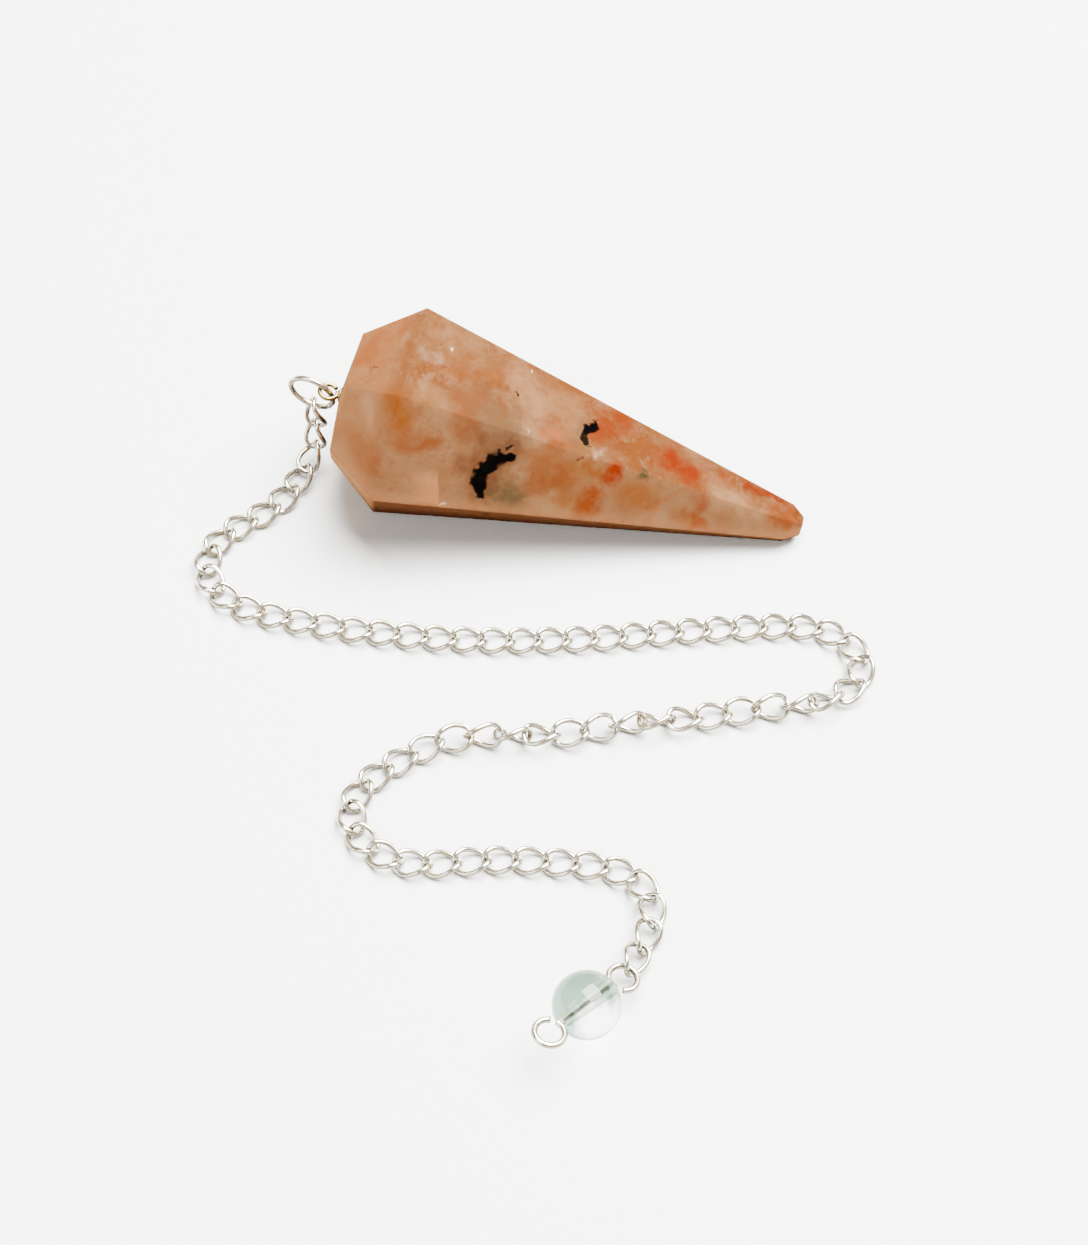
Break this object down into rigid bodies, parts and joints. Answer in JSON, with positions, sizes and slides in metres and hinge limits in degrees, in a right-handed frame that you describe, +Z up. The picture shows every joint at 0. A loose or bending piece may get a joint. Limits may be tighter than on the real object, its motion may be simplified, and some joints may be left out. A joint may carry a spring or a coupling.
{
  "type": "pendulum pendant",
  "caption": "Pendulum pendant lying flat: a faceted pointed stone with a pin eye and jump ring, a silver curb chain laid in bends, and a small glass bead at its end",
  "frame": {"origin": "middle of the pendant's box in plan, on the surface it lies on", "axes": "+Z up; +X to the right and +Y away as the laid-out pendant is seen, with the stone at +Y and the bead at -Y"},
  "size_m": [0.0651, 0.0751, 0.0187],
  "materials": {
    "sunstone": "polished",
    "pin_metal": "worn plating",
    "chain_metal": "polished",
    "bead_glass": "clear polished"
  },
  "bodies": {
    "root": {"stone": "sunstone", "eye_pin": "pin_metal", "jump_ring": "chain_metal", "chain": "chain_metal", "bead": "bead_glass", "bead_pin": "chain_metal"}
  },
  "joints": []
}
